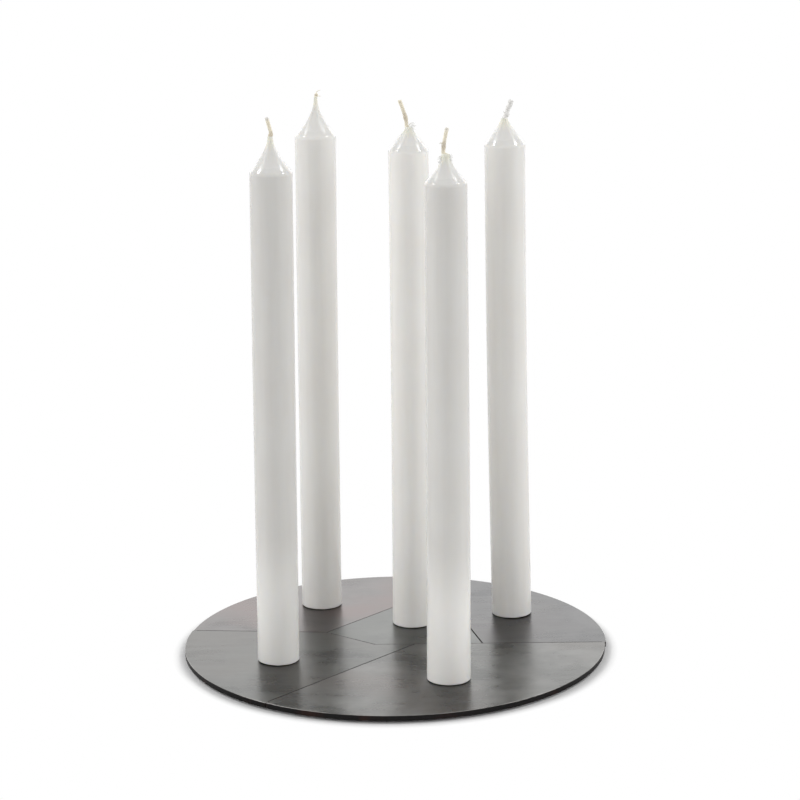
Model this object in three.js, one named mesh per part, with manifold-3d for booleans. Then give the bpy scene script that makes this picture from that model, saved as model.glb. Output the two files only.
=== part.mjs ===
// A candelabra of five loose steel plates that lie together as one round disc.
// Each plate carries a pricket, riveted in from below, and a dinner candle is pushed down on it.
// Millimetres, +Z up. The origin is the centre of the disc, on the table top that it stands on.
import * as THREE from "three";
import { mergeVertices } from "three/addons/utils/BufferGeometryUtils.js";
import Module from "manifold-3d";

const wasm = await Module();
wasm.setup();

// Plates, cut from one disc of sheet steel
const discRadius = 115;
const plateThickness = 3;
const edgeBreak = 0.15;
const seamGap = 0.2;
const rimStepDegrees = 1.5;

// Seams: the corners where they meet, their headings in degrees and the lengths along them
const hubLeft = 38;
const hubBack = 17.5;
const elbowLeft = 11;
const elbowFront = 4;
const leftSeamHeading = 175;
const crossSeamHeading = -0.7;
const diagonalSeamHeading = 48.4;
const elbowToFork = 21.7;
const heelToRim = 67.4;
const peakToRim = 24.5;

// Rubber feet under the plates
const footRadius = 5;
const footThickness = 1.3;
const footInset = 9;
const footSides = 20;

// Prickets, each with a countersunk rivet head that lies flush with the plate's underside
const pricketRadius = 1.6;
const pricketHeight = 20;
const pricketPointLength = 8;
const pricketTipRadius = 0.25;
const rivetHeadRadius = 3.8;
const rivetHeadDepth = 1.5;
const rivetClearance = 0.1;
const pricketSides = 20;

// Candles and their wicks
const candleRadius = 11;
const shoulderHeight = 270;
const candleSides = 36;
const baseRound = 0.5;
const shoulderRound = 3.2;
const shoulderTurnDegrees = 50;
const coneSteps = 7;
const waxFolds = 5;
const candleSeatGap = 0.3;
const pricketHoleClearance = 0.3;
const beadSides = 10;
const wickRadius = 1;
const wickBoreClearance = 0.15;
const wickAbovePricket = 1;
const wickSides = 8;
const wickSteps = 12;
const wickJoint = 2;

const plateUnderside = footThickness;
const plateTop = plateUnderside + plateThickness;
const cutMargin = 1;

// Straight lines in the plane of the plates

function heading(degrees) {
  const radians = THREE.MathUtils.degToRad(degrees);
  return new THREE.Vector2(Math.cos(radians), Math.sin(radians));
}

function offset(point, x, y) {
  return new THREE.Vector2(point.x + x, point.y + y);
}

function lineThrough(start, direction) {
  return { start, direction };
}

// The line from a to b, moved to its left by inset.
function insetLine(a, b, inset) {
  const direction = b.clone().sub(a).normalize();
  const left = new THREE.Vector2(-direction.y, direction.x);
  return lineThrough(a.clone().addScaledVector(left, inset), direction);
}

function pointAlong(line, distance) {
  return line.start.clone().addScaledVector(line.direction, distance);
}

function crossing(one, other) {
  const between = other.start.clone().sub(one.start);
  const turn = one.direction.cross(other.direction);
  return pointAlong(one, between.cross(other.direction) / turn);
}

// Where a line meets the circle round the origin, behind its start (side -1) or ahead of it (side 1).
function rimPoint(line, radius, side) {
  const along = line.start.dot(line.direction);
  const reach = Math.sqrt(along ** 2 - line.start.lengthSq() + radius ** 2);
  return pointAlong(line, -along + side * reach);
}

// The cross seam runs from the elbow to the right rim, and the two diagonals are parallel

const hub = new THREE.Vector2(-hubLeft, hubBack);
const elbow = new THREE.Vector2(-elbowLeft, -elbowFront);

const crossSeam = lineThrough(elbow, heading(crossSeamHeading));
const fork = pointAlong(crossSeam, elbowToFork);
const backDiagonal = lineThrough(hub, heading(diagonalSeamHeading));
const frontDiagonal = lineThrough(fork, heading(diagonalSeamHeading));
const leftSeam = lineThrough(hub, heading(leftSeamHeading));

const rightEnd = rimPoint(crossSeam, discRadius, 1);
const backEnd = rimPoint(backDiagonal, discRadius, 1);
const leftEnd = rimPoint(leftSeam, discRadius, 1);
const frontEnd = rimPoint(frontDiagonal, discRadius, -1);
const heel = rightEnd.clone().addScaledVector(crossSeam.direction, -heelToRim);
const peak = backEnd.clone().addScaledVector(backDiagonal.direction, -peakToRim);

// The five plates. Corners run anticlockwise, and a rim closes the outline from the last corner to the first.
// lay is how far the loose plate lies from its place in the disc. footCorners are the corners with a foot under
// them, and rimFeet the feet spaced along the rim. A candle's place is offset from one of its plate's corners,
// lean is in degrees to the right, and taller is what its shoulder stands above the usual height. tipShift is
// how far right of its axis the wax was drawn up, and foldDepth how deep its folds are, as a share of the
// radius. The wick's points and the wax beads, with their radius last, are measured from the wax tip.
const plates = [
  {
    name: "centre",
    corners: [hub, elbow, heel, peak],
    hasRim: false,
    lay: [0, 0],
    footCorners: [0, 1, 2, 3],
    rimFeet: 0,
    candle: {
      place: offset(hub, 47.7, 15.1),
      lean: 0.25,
      taller: -0.2,
      cone: 9.9,
      neckWall: 2.1,
      flare: 1.6,
      tipShift: 0.2,
      foldDepth: 0.05,
      beads: [[3.2, 0.3, 0.2, 1.7], [3.3, 0, 1.6, 1.1]],
      wick: [[-0.7, 0.2, 1.8], [-1.5, 0.3, 5.6], [-3.2, 0.1, 10.8], [-4.6, -0.3, 14.8]],
    },
  },
  {
    name: "front_left",
    corners: [frontEnd, fork, elbow, hub, leftEnd],
    hasRim: true,
    lay: [-0.5, 0],
    footCorners: [0, 1, 3, 4],
    rimFeet: 0,
    candle: {
      place: offset(elbow, -51.9, -21.9),
      lean: 0.45,
      taller: -0.2,
      cone: 16.3,
      neckWall: 0.3,
      flare: 1.75,
      tipShift: -0.2,
      foldDepth: 0.07,
      beads: [],
      wick: [[0.4, 0.2, 2], [-0.5, 0.3, 5.6], [-1.7, 0, 10.3]],
    },
  },
  {
    name: "back_left",
    corners: [leftEnd, hub, backEnd],
    hasRim: true,
    lay: [0, 0.1],
    footCorners: [0, 1, 2],
    rimFeet: 1,
    candle: {
      place: offset(hub, -3.8, 49.5),
      lean: 0.36,
      taller: 2.3,
      cone: 15.9,
      neckWall: 0.6,
      flare: 1.95,
      tipShift: 0.3,
      foldDepth: 0.08,
      beads: [],
      wick: [[0.9, 0.2, 1.4], [0.6, 0.3, 3.2], [1.6, 0.3, 5.2]],
    },
  },
  {
    name: "front_right",
    corners: [rightEnd, fork, frontEnd],
    hasRim: true,
    lay: [-0.2, -0.05],
    footCorners: [0, 1, 2],
    rimFeet: 2,
    candle: {
      place: offset(fork, 17.65, -56),
      lean: 0.26,
      taller: -0.7,
      cone: 12.3,
      neckWall: 1.35,
      flare: 1.85,
      tipShift: 0.4,
      foldDepth: 0.05,
      beads: [[-3.2, 0.1, -1.9, 1.4], [2.4, 0.1, -0.8, 1], [-0.4, -2.7, -1.7, 1.2]],
      wick: [[-1.4, 0.2, 2.8], [-1.3, 0.3, 6], [-0.3, 0.1, 10.4], [0.4, 0, 13.8]],
    },
  },
  {
    name: "back_right",
    corners: [backEnd, peak, heel, rightEnd],
    hasRim: true,
    lay: [0.45, 0.1],
    footCorners: [0, 2, 3],
    rimFeet: 1,
    candle: {
      place: offset(heel, 17.8, 51.6),
      lean: -0.48,
      taller: -0.4,
      cone: 11.7,
      neckWall: 1.35,
      flare: 1.4,
      tipShift: -0.2,
      foldDepth: 0.04,
      beads: [],
      wick: [[1.45, 0.2, 2.6], [2.6, 0.3, 6], [3.9, 0.1, 9.9]],
    },
  },
];

// Solids and booleans

function solidOf(geometry) {
  const bare = geometry.clone();
  bare.deleteAttribute("normal");
  bare.deleteAttribute("uv");
  const merged = mergeVertices(bare, 1e-4);
  return new wasm.Manifold(
    new wasm.Mesh({
      numProp: 3,
      vertProperties: new Float32Array(merged.attributes.position.array),
      triVerts: new Uint32Array(merged.index.array),
    }),
  );
}

function geometryOf(solid) {
  const mesh = solid.getMesh();
  const geometry = new THREE.BufferGeometry();
  geometry.setAttribute("position", new THREE.BufferAttribute(mesh.vertProperties, 3));
  geometry.setIndex(new THREE.BufferAttribute(mesh.triVerts, 1));
  geometry.computeVertexNormals();
  return geometry;
}

// A profile of [radius, height] pairs turned round +Z.
function turned(profile, sides) {
  const points = profile.map(([radius, height]) => new THREE.Vector2(radius, height));
  return new THREE.LatheGeometry(points, sides).rotateX(Math.PI / 2);
}

// Plates

// The outline's corners, moved inwards from every seam, with its ends on a circle of the given radius.
function insetCorners(plate, inset, radius) {
  const { corners, hasRim } = plate;
  const count = hasRim ? corners.length - 1 : corners.length;
  const sides = Array.from({ length: count }, (_, i) =>
    insetLine(corners[i], corners[(i + 1) % corners.length], inset),
  );
  if (!hasRim) return sides.map((side, i) => crossing(sides.at(i - 1), side));
  const inner = sides.slice(1).map((side, i) => crossing(sides[i], side));
  return [rimPoint(sides[0], radius, -1), ...inner, rimPoint(sides.at(-1), radius, 1)];
}

function rimSpan(corners) {
  const start = corners.at(-1).angle();
  const span = THREE.MathUtils.euclideanModulo(corners[0].angle() - start, 2 * Math.PI);
  return { start, span };
}

function pricketHole() {
  const head = rivetHeadRadius + rivetClearance;
  const shank = pricketRadius + rivetClearance;
  return turned(
    [
      [0, -cutMargin],
      [head, -cutMargin],
      [head, 0],
      [shank, rivetHeadDepth],
      [shank, plateThickness + cutMargin],
      [0, plateThickness + cutMargin],
    ],
    pricketSides,
  );
}

function plateGeometry(plate) {
  const corners = insetCorners(plate, seamGap / 2, discRadius);
  const shape = new THREE.Shape(corners);
  let rimSteps = 1;
  if (plate.hasRim) {
    const { start, span } = rimSpan(corners);
    shape.absarc(0, 0, discRadius, start, start + span, false);
    rimSteps = Math.ceil(THREE.MathUtils.radToDeg(span) / rimStepDegrees / 2);
  }
  const sheet = new THREE.ExtrudeGeometry(shape, {
    depth: plateThickness - 2 * edgeBreak,
    bevelThickness: edgeBreak,
    bevelSize: edgeBreak,
    bevelOffset: -edgeBreak,
    bevelSegments: 1,
    curveSegments: rimSteps,
  }).translate(0, 0, edgeBreak);
  const { x, y } = plate.candle.place;
  const hole = pricketHole().translate(x, y, 0);
  return geometryOf(solidOf(sheet).subtract(solidOf(hole))).translate(0, 0, plateUnderside);
}

// Rubber feet, in from the corners and spaced along the rim

function footPlaces(plate) {
  const footRing = discRadius - footInset;
  const corners = insetCorners(plate, footInset, footRing);
  const places = plate.footCorners.map((i) => corners[i]);
  if (!plate.hasRim) return places;
  const { start, span } = rimSpan(corners);
  for (let i = 1; i <= plate.rimFeet; i++) {
    const angle = start + (span * i) / (plate.rimFeet + 1);
    places.push(new THREE.Vector2(footRing, 0).rotateAround(new THREE.Vector2(), angle));
  }
  return places;
}

function footGeometry(place) {
  return turned(
    [[0, 0], [footRadius, 0], [footRadius, footThickness], [0, footThickness]],
    footSides,
  ).translate(place.x, place.y, 0);
}

// Prickets

function pricketGeometry(place) {
  const topOfShank = plateThickness + pricketHeight - pricketPointLength;
  return turned(
    [
      [0, 0],
      [rivetHeadRadius, 0],
      [pricketRadius, rivetHeadDepth],
      [pricketRadius, topOfShank],
      [pricketTipRadius, plateThickness + pricketHeight],
      [0, plateThickness + pricketHeight],
    ],
    pricketSides,
  ).translate(place.x, place.y, plateUnderside);
}

// Candles: a poured body with a rounded base and shoulder, and wax drawn up round the wick

const wickBoreRadius = wickRadius + wickBoreClearance;
const pricketHoleRadius = pricketRadius + pricketHoleClearance;
const pricketReach = pricketHeight - candleSeatGap;

function arcPoints(centreRadius, centreHeight, radius, fromDegrees, toDegrees, steps) {
  return Array.from({ length: steps + 1 }, (_, i) => {
    const turn = heading(fromDegrees + ((toDegrees - fromDegrees) * i) / steps);
    return [centreRadius + radius * turn.x, centreHeight + radius * turn.y];
  });
}

function conePoints(from, tip, flare) {
  return Array.from({ length: coneSteps }, (_, i) => {
    const share = (i + 1) / coneSteps;
    const radius = tip[0] + (from[0] - tip[0]) * (1 - share) ** flare;
    return [radius, from[1] + (tip[1] - from[1]) * share];
  });
}

function shoulderOf(candle) {
  return shoulderHeight + candle.taller;
}

// How far up a point is from the shoulder to the wax tip, from 0 to 1.
function shareOfCone(z, candle) {
  return THREE.MathUtils.clamp((z - shoulderOf(candle)) / candle.cone, 0, 1);
}

// Moves what lies above the shoulder to the right, most at the wax tip.
function drawAside(geometry, candle) {
  const points = geometry.attributes.position;
  for (let i = 0; i < points.count; i++) {
    const share = shareOfCone(points.getZ(i), candle);
    points.setX(i, points.getX(i) + candle.tipShift * share ** 1.5);
  }
  return geometry;
}

// Presses soft folds into the outside of the cone, none at the shoulder and deepest halfway up.
function foldWax(geometry, candle) {
  const points = geometry.attributes.position;
  const point = new THREE.Vector2();
  for (let i = 0; i < points.count; i++) {
    point.set(points.getX(i), points.getY(i));
    const share = shareOfCone(points.getZ(i), candle);
    const wave = Math.cos(waxFolds * point.angle() + candle.cone);
    point.multiplyScalar(1 + candle.foldDepth * Math.sin(Math.PI * share) * wave);
    points.setXY(i, point.x, point.y);
  }
  return geometry;
}

function candleGeometry(candle) {
  const { cone, neckWall, flare } = candle;
  const shoulder = shoulderOf(candle);
  const base = arcPoints(candleRadius - baseRound, baseRound, baseRound, -90, 0, 3);
  const bend = arcPoints(
    candleRadius - shoulderRound,
    shoulder - shoulderRound,
    shoulderRound,
    0,
    shoulderTurnDegrees,
    3,
  );
  const tip = conePoints(bend.at(-1), [wickBoreRadius + neckWall, shoulder + cone], flare);
  const bore = [
    [wickBoreRadius, shoulder + cone],
    [wickBoreRadius, pricketReach + pricketHoleClearance],
    [pricketHoleRadius, pricketReach - pricketPointLength + pricketHoleClearance],
    [pricketHoleRadius, 0],
  ];
  const profile = [...base, ...bend, ...tip, ...bore];
  const body = drawAside(foldWax(turned([...profile, profile[0]], candleSides), candle), candle);
  const beads = candle.beads.map(([x, y, z, radius]) =>
    solidOf(
      new THREE.SphereGeometry(radius, beadSides, beadSides / 2)
        .translate(candle.tipShift + x, y, shoulder + cone + z),
    ),
  );
  return geometryOf(beads.reduce((wax, bead) => wax.add(bead), solidOf(body)));
}

// Wicks: a straight core down the middle of the wax, and a bent free end

function wickGeometry(candle) {
  const { cone, tipShift, wick } = candle;
  const tip = shoulderOf(candle) + cone;
  const bottom = pricketReach + wickAbovePricket;
  const core = new THREE.CylinderGeometry(wickRadius, wickRadius, tip - bottom, wickSides)
    .rotateX(Math.PI / 2)
    .translate(0, 0, (tip + bottom) / 2);
  const bends = wick.map(([x, y, z]) => new THREE.Vector3(tipShift + x, y, tip + z));
  const path = new THREE.CatmullRomCurve3([
    new THREE.Vector3(tipShift, 0, tip - wickJoint),
    new THREE.Vector3(tipShift, 0, tip),
    ...bends,
  ]);
  const section = new THREE.Shape().absarc(0, 0, wickRadius, 0, 2 * Math.PI, false);
  const freeEnd = new THREE.ExtrudeGeometry(section, {
    steps: wickSteps,
    curveSegments: wickSides / 2,
    extrudePath: path,
    bevelEnabled: false,
  });
  return geometryOf(solidOf(drawAside(core, candle)).add(solidOf(freeEnd)));
}

// Finishes

const blackenedSteel = { color: 0x4f4f4d, roughness: 0.38, metalness: 0.9 };
const brightSteel = { color: 0x9a9a98, roughness: 0.35, metalness: 0.9 };
const blackRubber = { color: 0x141414, roughness: 0.8, metalness: 0 };
const whiteWax = { color: 0xefeee9, roughness: 0.35, metalness: 0 };
const cottonWick = { color: 0xd9cfb8, roughness: 0.9, metalness: 0 };

function named(name, geometry, finish) {
  const mesh = new THREE.Mesh(geometry, new THREE.MeshStandardMaterial(finish));
  mesh.name = name;
  return mesh;
}

// The candle stands on its plate and leans as it was pushed on.
function candleGroup(plate) {
  const group = new THREE.Group();
  group.position.set(plate.candle.place.x, plate.candle.place.y, plateTop + candleSeatGap);
  group.rotation.y = THREE.MathUtils.degToRad(plate.candle.lean);
  group.add(
    named(`${plate.name}_candle`, candleGeometry(plate.candle), whiteWax),
    named(`${plate.name}_wick`, wickGeometry(plate.candle), cottonWick),
  );
  return group;
}

function plateGroup(plate) {
  const group = new THREE.Group();
  group.position.set(...plate.lay, 0);
  group.add(
    named(`${plate.name}_plate`, plateGeometry(plate), blackenedSteel),
    named(`${plate.name}_pricket`, pricketGeometry(plate.candle.place), brightSteel),
    ...footPlaces(plate).map((place, i) =>
      named(`${plate.name}_foot_${i + 1}`, footGeometry(place), blackRubber),
    ),
    candleGroup(plate),
  );
  return group;
}

const candelabra = new THREE.Group();
candelabra.add(...plates.map(plateGroup));

export default candelabra;
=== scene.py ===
import math

import bpy
from mathutils import Matrix, Vector, noise


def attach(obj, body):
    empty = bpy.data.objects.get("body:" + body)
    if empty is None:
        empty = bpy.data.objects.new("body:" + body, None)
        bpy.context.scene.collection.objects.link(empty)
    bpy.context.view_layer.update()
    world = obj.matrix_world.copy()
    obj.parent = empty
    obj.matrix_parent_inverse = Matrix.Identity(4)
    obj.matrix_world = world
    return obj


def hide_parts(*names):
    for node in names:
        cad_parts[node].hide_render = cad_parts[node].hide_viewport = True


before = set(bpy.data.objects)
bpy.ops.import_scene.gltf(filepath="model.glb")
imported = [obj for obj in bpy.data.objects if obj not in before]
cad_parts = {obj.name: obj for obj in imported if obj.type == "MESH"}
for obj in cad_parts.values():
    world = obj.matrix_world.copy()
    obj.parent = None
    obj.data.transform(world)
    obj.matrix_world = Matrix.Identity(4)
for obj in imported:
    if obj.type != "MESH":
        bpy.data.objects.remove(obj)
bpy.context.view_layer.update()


# Rubber feet: thin black discs, punched from sheet rubber and glued under each plate,
# so that the steel doesn't scratch the table. The cut edge is dull and the rubber a little dusty.

RUBBER_BLACK = (0.018, 0.018, 0.019, 1)
RUBBER_DUST = (0.075, 0.072, 0.068, 1)


def place(tree, kind, inputs=None, **settings):
    """Adds a shader node, sets its options, and fills or links its inputs."""
    made = tree.nodes.new(kind)
    for option, value in settings.items():
        setattr(made, option, value)
    for socket, value in (inputs or {}).items():
        if isinstance(value, bpy.types.NodeSocket):
            tree.links.new(value, made.inputs[socket])
        else:
            made.inputs[socket].default_value = value
    return made


def finish_called(name):
    """A new material, its node tree and its Principled shader."""
    material = bpy.data.materials.new(name)
    material.use_nodes = True
    tree = material.node_tree
    return material, tree, tree.nodes["Principled BSDF"]


def fade(tree, amount, low, high, dark, light):
    """Turns a value between low and high into a colour between dark and light."""
    ramp = place(tree, "ShaderNodeValToRGB", {"Fac": amount})
    ramp.color_ramp.elements[0].position = low
    ramp.color_ramp.elements[0].color = dark
    ramp.color_ramp.elements[1].position = high
    ramp.color_ramp.elements[1].color = light
    return ramp.outputs["Color"]


def clouds_on(tree, spot, scale, detail, roughness=0.5):
    """Random clouds, from 0 to 1. The larger the scale, the finer they are."""
    inputs = {"Vector": spot, "Scale": scale, "Detail": detail, "Roughness": roughness}
    return place(tree, "ShaderNodeTexNoise", inputs).outputs["Fac"]


def relief(tree, height, depth, strength, under=None):
    """The normals of a surface with this height in it, its depth in metres, over another relief if any."""
    bump = place(tree, "ShaderNodeBump", {"Height": height, "Distance": depth, "Strength": strength})
    if under:
        tree.links.new(under, bump.inputs["Normal"])
    return bump.outputs["Normal"]


def coat(node_name, material):
    """Gives a CAD piece its finish."""
    slots = bpy.data.objects[node_name].data.materials
    slots.clear()
    slots.append(material)


def rubber_finish():
    material, tree, shader = finish_called("black rubber")
    spot = place(tree, "ShaderNodeTexCoord").outputs["Object"]
    grain = clouds_on(tree, spot, 1400, 3)
    dust = clouds_on(tree, spot, 160, 4)
    colour = fade(tree, dust, 0.45, 0.75, RUBBER_BLACK, RUBBER_DUST)
    tree.links.new(colour, shader.inputs["Base Color"])
    tree.links.new(relief(tree, grain, 0.00004, 0.5), shader.inputs["Normal"])
    shader.inputs["Roughness"].default_value = 0.8
    return material


black_rubber = rubber_finish()
for node_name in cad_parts:
    if "_foot_" in node_name:
        coat(node_name, black_rubber)


# Plates: 3 mm hot-rolled sheet, laser-cut from one disc along irregular seams, its edges broken with a
# file. The sheet is blackened and waxed, so it is softly glossy and clouded, and each plate came out
# a little different. The cut faces are striped, and their dark grey is partly the laser's scale and
# partly painted shade for the dark room in front that they would mirror. The broken edges are blackened
# and darkened further by painted shade along the seams, and near the rim they are rubbed bright, with a
# painted highlight on that wear.

PLATES = ("centre", "front_left", "back_left", "front_right", "back_right")
WAX_SMEAR = (0.15, 0.15, 0.144, 1)
SCALE_SPECK = (0.22, 0.2, 0.18, 1)
CUT_STRIPE = (0.012, 0.012, 0.012, 1)
CUT_GLINT = (0.35, 0.34, 0.33, 1)
# Broken edges: partly the blackening and partly painted shade along the seams.
BLACKENED_AND_SHADED_EDGE = (0.03, 0.03, 0.029, 1)
# Only the rim, from the first radius to the second, is handled so much that its edge is rubbed bright, and a
# painted highlight is laid on that wear.
RIM_FROM = 0.1125
RIM_TO = 0.114


def group_called(name, inputs, outputs):
    """An empty node group with named sockets, and its two ends."""
    tree = bpy.data.node_groups.new(name, "ShaderNodeTree")
    for socket, kind in inputs.items():
        tree.interface.new_socket(socket, in_out="INPUT", socket_type=kind)
    for socket, kind in outputs.items():
        tree.interface.new_socket(socket, in_out="OUTPUT", socket_type=kind)
    return tree, place(tree, "NodeGroupInput"), place(tree, "NodeGroupOutput")


def blend(tree, amount, first, second):
    """Mixes two colours."""
    return place(tree, "ShaderNodeMix", {0: amount, 6: first, 7: second}, data_type="RGBA").outputs[2]


def work_out(tree, operation, first, second=0.0, third=0.0, clamp=False):
    """One step of arithmetic."""
    inputs = {0: first, 1: second, 2: third}
    return place(tree, "ShaderNodeMath", inputs, operation=operation, use_clamp=clamp).outputs[0]


def between(tree, value, low, high, new_low=0.0, new_high=1.0, smooth=True):
    """Stretches a value's range, and keeps it inside the new one."""
    inputs = {"Value": value, "From Min": low, "From Max": high, "To Min": new_low, "To Max": new_high}
    kind = "SMOOTHSTEP" if smooth else "LINEAR"
    return place(tree, "ShaderNodeMapRange", inputs, interpolation_type=kind).outputs["Result"]


def few_spots(tree, spot, scale, inner, outer, first, last):
    """Small round spots in random cells. Only the cells with a number past the first one have a spot."""
    cells = place(tree, "ShaderNodeTexVoronoi", {"Vector": spot, "Scale": scale})
    near = between(tree, cells.outputs["Distance"], inner, outer, 1, 0)
    return work_out(tree, "MULTIPLY", near, between(tree, cells.outputs["Color"], first, last))


def cloth_wiped_patina():
    """Clouds where the blackening took unevenly, wipe marks of the wax, specks and pits."""
    tree, start, end = group_called(
        "cloth-wiped patina",
        {"Place": "NodeSocketVector", "Dark": "NodeSocketColor", "Light": "NodeSocketColor",
         "Stain": "NodeSocketColor", "Stain Amount": "NodeSocketFloat"},
        {"Color": "NodeSocketColor", "Roughness": "NodeSocketFloat", "Height": "NodeSocketFloat"},
    )
    spot = start.outputs["Place"]
    warp = place(tree, "ShaderNodeTexNoise", {"Vector": spot, "Scale": 22, "Detail": 2})
    push = {0: warp.outputs["Color"], 1: (0.02, 0.02, 0.02), 2: spot}
    bent = place(tree, "ShaderNodeVectorMath", push, operation="MULTIPLY_ADD")
    clouds = clouds_on(tree, bent.outputs[0], 30, 5, 0.55)
    wiped = {"Vector": spot, "Rotation": (0, 0, 0.35), "Scale": (28, 130, 28)}
    stretched = place(tree, "ShaderNodeMapping", wiped)
    wipes = clouds_on(tree, stretched.outputs[0], 1, 4, 0.6)
    stains = clouds_on(tree, spot, 17, 3)
    specks = few_spots(tree, spot, 420, 0.1, 0.16, 0.86, 0.9)
    grain = clouds_on(tree, spot, 900, 4, 0.65)

    cloud_mask = between(tree, clouds, 0.32, 0.68)
    colour = blend(tree, cloud_mask, start.outputs["Dark"], start.outputs["Light"])
    stain_mask = between(tree, stains, 0.42, 0.66)
    stain_mask = work_out(tree, "MULTIPLY", stain_mask, start.outputs["Stain Amount"], clamp=True)
    colour = blend(tree, stain_mask, colour, start.outputs["Stain"])
    wipe_mask = between(tree, wipes, 0.35, 0.7)
    colour = blend(tree, work_out(tree, "MULTIPLY", wipe_mask, 0.3), colour, WAX_SMEAR)
    colour = blend(tree, work_out(tree, "MULTIPLY", specks, 0.55), colour, SCALE_SPECK)
    tree.links.new(colour, end.inputs["Color"])

    rough = between(tree, clouds, 0.3, 0.7, 0.24, 0.32)
    rough = work_out(tree, "MULTIPLY_ADD", wipe_mask, 0.05, rough)
    rough = work_out(tree, "MULTIPLY_ADD", specks, 0.2, rough)
    tree.links.new(rough, end.inputs["Roughness"])
    height = work_out(tree, "MULTIPLY_ADD", grain, 0.08, clouds)
    height = work_out(tree, "SUBTRACT", height, work_out(tree, "MULTIPLY", specks, 0.5))
    tree.links.new(height, end.inputs["Height"])
    return tree


def cut_and_broken_edges():
    """Which parts of a plate are its cut faces and its broken edges, told by how they are turned."""
    tree, start, end = group_called(
        "cut and broken edges",
        {"Place": "NodeSocketVector", "Facing": "NodeSocketVector", "Color": "NodeSocketColor",
         "Roughness": "NodeSocketFloat", "Cut Face Scale and Shade": "NodeSocketColor", "Rust": "NodeSocketColor",
         "Bright": "NodeSocketColor"},
        {"Color": "NodeSocketColor", "Roughness": "NodeSocketFloat", "Height": "NodeSocketFloat"},
    )
    spot = start.outputs["Place"]
    upright = place(tree, "ShaderNodeSeparateXYZ", {"Vector": start.outputs["Facing"]}).outputs["Z"]
    cut = between(tree, upright, 0.25, 0.4, 1, 0)
    tilted = between(tree, upright, 0.4, 0.55)
    broken = work_out(tree, "MULTIPLY", tilted, between(tree, upright, 0.8, 0.92, 1, 0))
    flat_spot = place(tree, "ShaderNodeVectorMath", {0: spot, 1: (1, 1, 0)}, operation="MULTIPLY").outputs[0]
    from_middle = place(tree, "ShaderNodeVectorMath", {0: flat_spot}, operation="LENGTH").outputs["Value"]
    handled_and_highlit = between(tree, from_middle, RIM_FROM, RIM_TO, 0.12, 1)
    along_only = place(tree, "ShaderNodeMapping", {"Vector": spot, "Scale": (1, 1, 0.06)})
    stripes = clouds_on(tree, along_only.outputs[0], 1900, 2)
    blots = clouds_on(tree, spot, 75, 4)
    rust = work_out(tree, "MULTIPLY", between(tree, blots, 0.5, 0.72), 0.7)
    # Painted shade: the cut faces are darker than their scale alone, in place of the dark room that they
    # would mirror.
    face = blend(tree, rust, start.outputs["Cut Face Scale and Shade"], start.outputs["Rust"])
    face = blend(tree, between(tree, stripes, 0.35, 0.75, 0, 0.5), face, CUT_STRIPE)
    face = blend(tree, few_spots(tree, spot, 300, 0.12, 0.2, 0.9, 0.94), face, CUT_GLINT)
    colour = blend(tree, cut, start.outputs["Color"], face)
    # Painted shade: the broken edges are darkened along the seams as well as blackened.
    colour = blend(tree, work_out(tree, "MULTIPLY", broken, 0.75), colour, BLACKENED_AND_SHADED_EDGE)
    # The bright broken edges are partly rubbed wear and partly a painted highlight, strongest at the rim.
    wear_and_highlight = work_out(tree, "MULTIPLY", broken, between(tree, blots, 0.3, 0.6, 0.35, 0.9))
    colour = blend(tree, work_out(tree, "MULTIPLY", wear_and_highlight, handled_and_highlit), colour, start.outputs["Bright"])
    tree.links.new(colour, end.inputs["Color"])
    rough = place(tree, "ShaderNodeMix", {0: cut, 2: start.outputs["Roughness"], 3: 0.55}, data_type="FLOAT")
    rough = place(tree, "ShaderNodeMix", {0: broken, 2: rough.outputs[0], 3: 0.3}, data_type="FLOAT")
    tree.links.new(rough.outputs[0], end.inputs["Roughness"])
    tree.links.new(work_out(tree, "MULTIPLY", stripes, cut), end.inputs["Height"])
    return tree


patina = cloth_wiped_patina()
edges = cut_and_broken_edges()

# For each plate: the dark and the light of its clouds, its stain and how much of it shows, and where
# in the clouds it was cut from.
PATINA_OF = {
    "centre": dict(
        dark=(0.021, 0.023, 0.021, 1), light=(0.095, 0.098, 0.092, 1),
        stain=(0.03, 0.034, 0.03, 1), stained=0.3, cut_from=(0.31, 0.12, 0.5),
    ),
    "front_left": dict(
        dark=(0.015, 0.016, 0.014, 1), light=(0.087, 0.088, 0.082, 1),
        stain=(0.058, 0.049, 0.043, 1), stained=0.4, cut_from=(1.13, 0.42, 0.1),
    ),
    "back_left": dict(
        dark=(0.029, 0.024, 0.023, 1), light=(0.11, 0.101, 0.099, 1),
        stain=(0.11, 0.074, 0.068, 1), stained=0.6, cut_from=(2.41, 1.37, 0.3),
    ),
    "front_right": dict(
        dark=(0.024, 0.025, 0.022, 1), light=(0.13, 0.13, 0.124, 1),
        stain=(0.08, 0.066, 0.06, 1), stained=0.5, cut_from=(3.07, 2.21, 0.7),
    ),
    "back_right": dict(
        dark=(0.015, 0.015, 0.017, 1), light=(0.08, 0.079, 0.08, 1),
        stain=(0.05, 0.043, 0.042, 1), stained=0.4, cut_from=(4.23, 3.19, 0.9),
    ),
}
# The cut face colour is partly the laser's scale and partly painted shade.
CUT_FACE_SCALE_AND_SHADE = (0.022, 0.021, 0.021, 1)
RUST = (0.05, 0.026, 0.022, 1)
# Rubbed steel, which also paints the highlight on the broken edges.
RUBBED_STEEL_AND_HIGHLIGHT = (0.3, 0.29, 0.28, 1)


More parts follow.
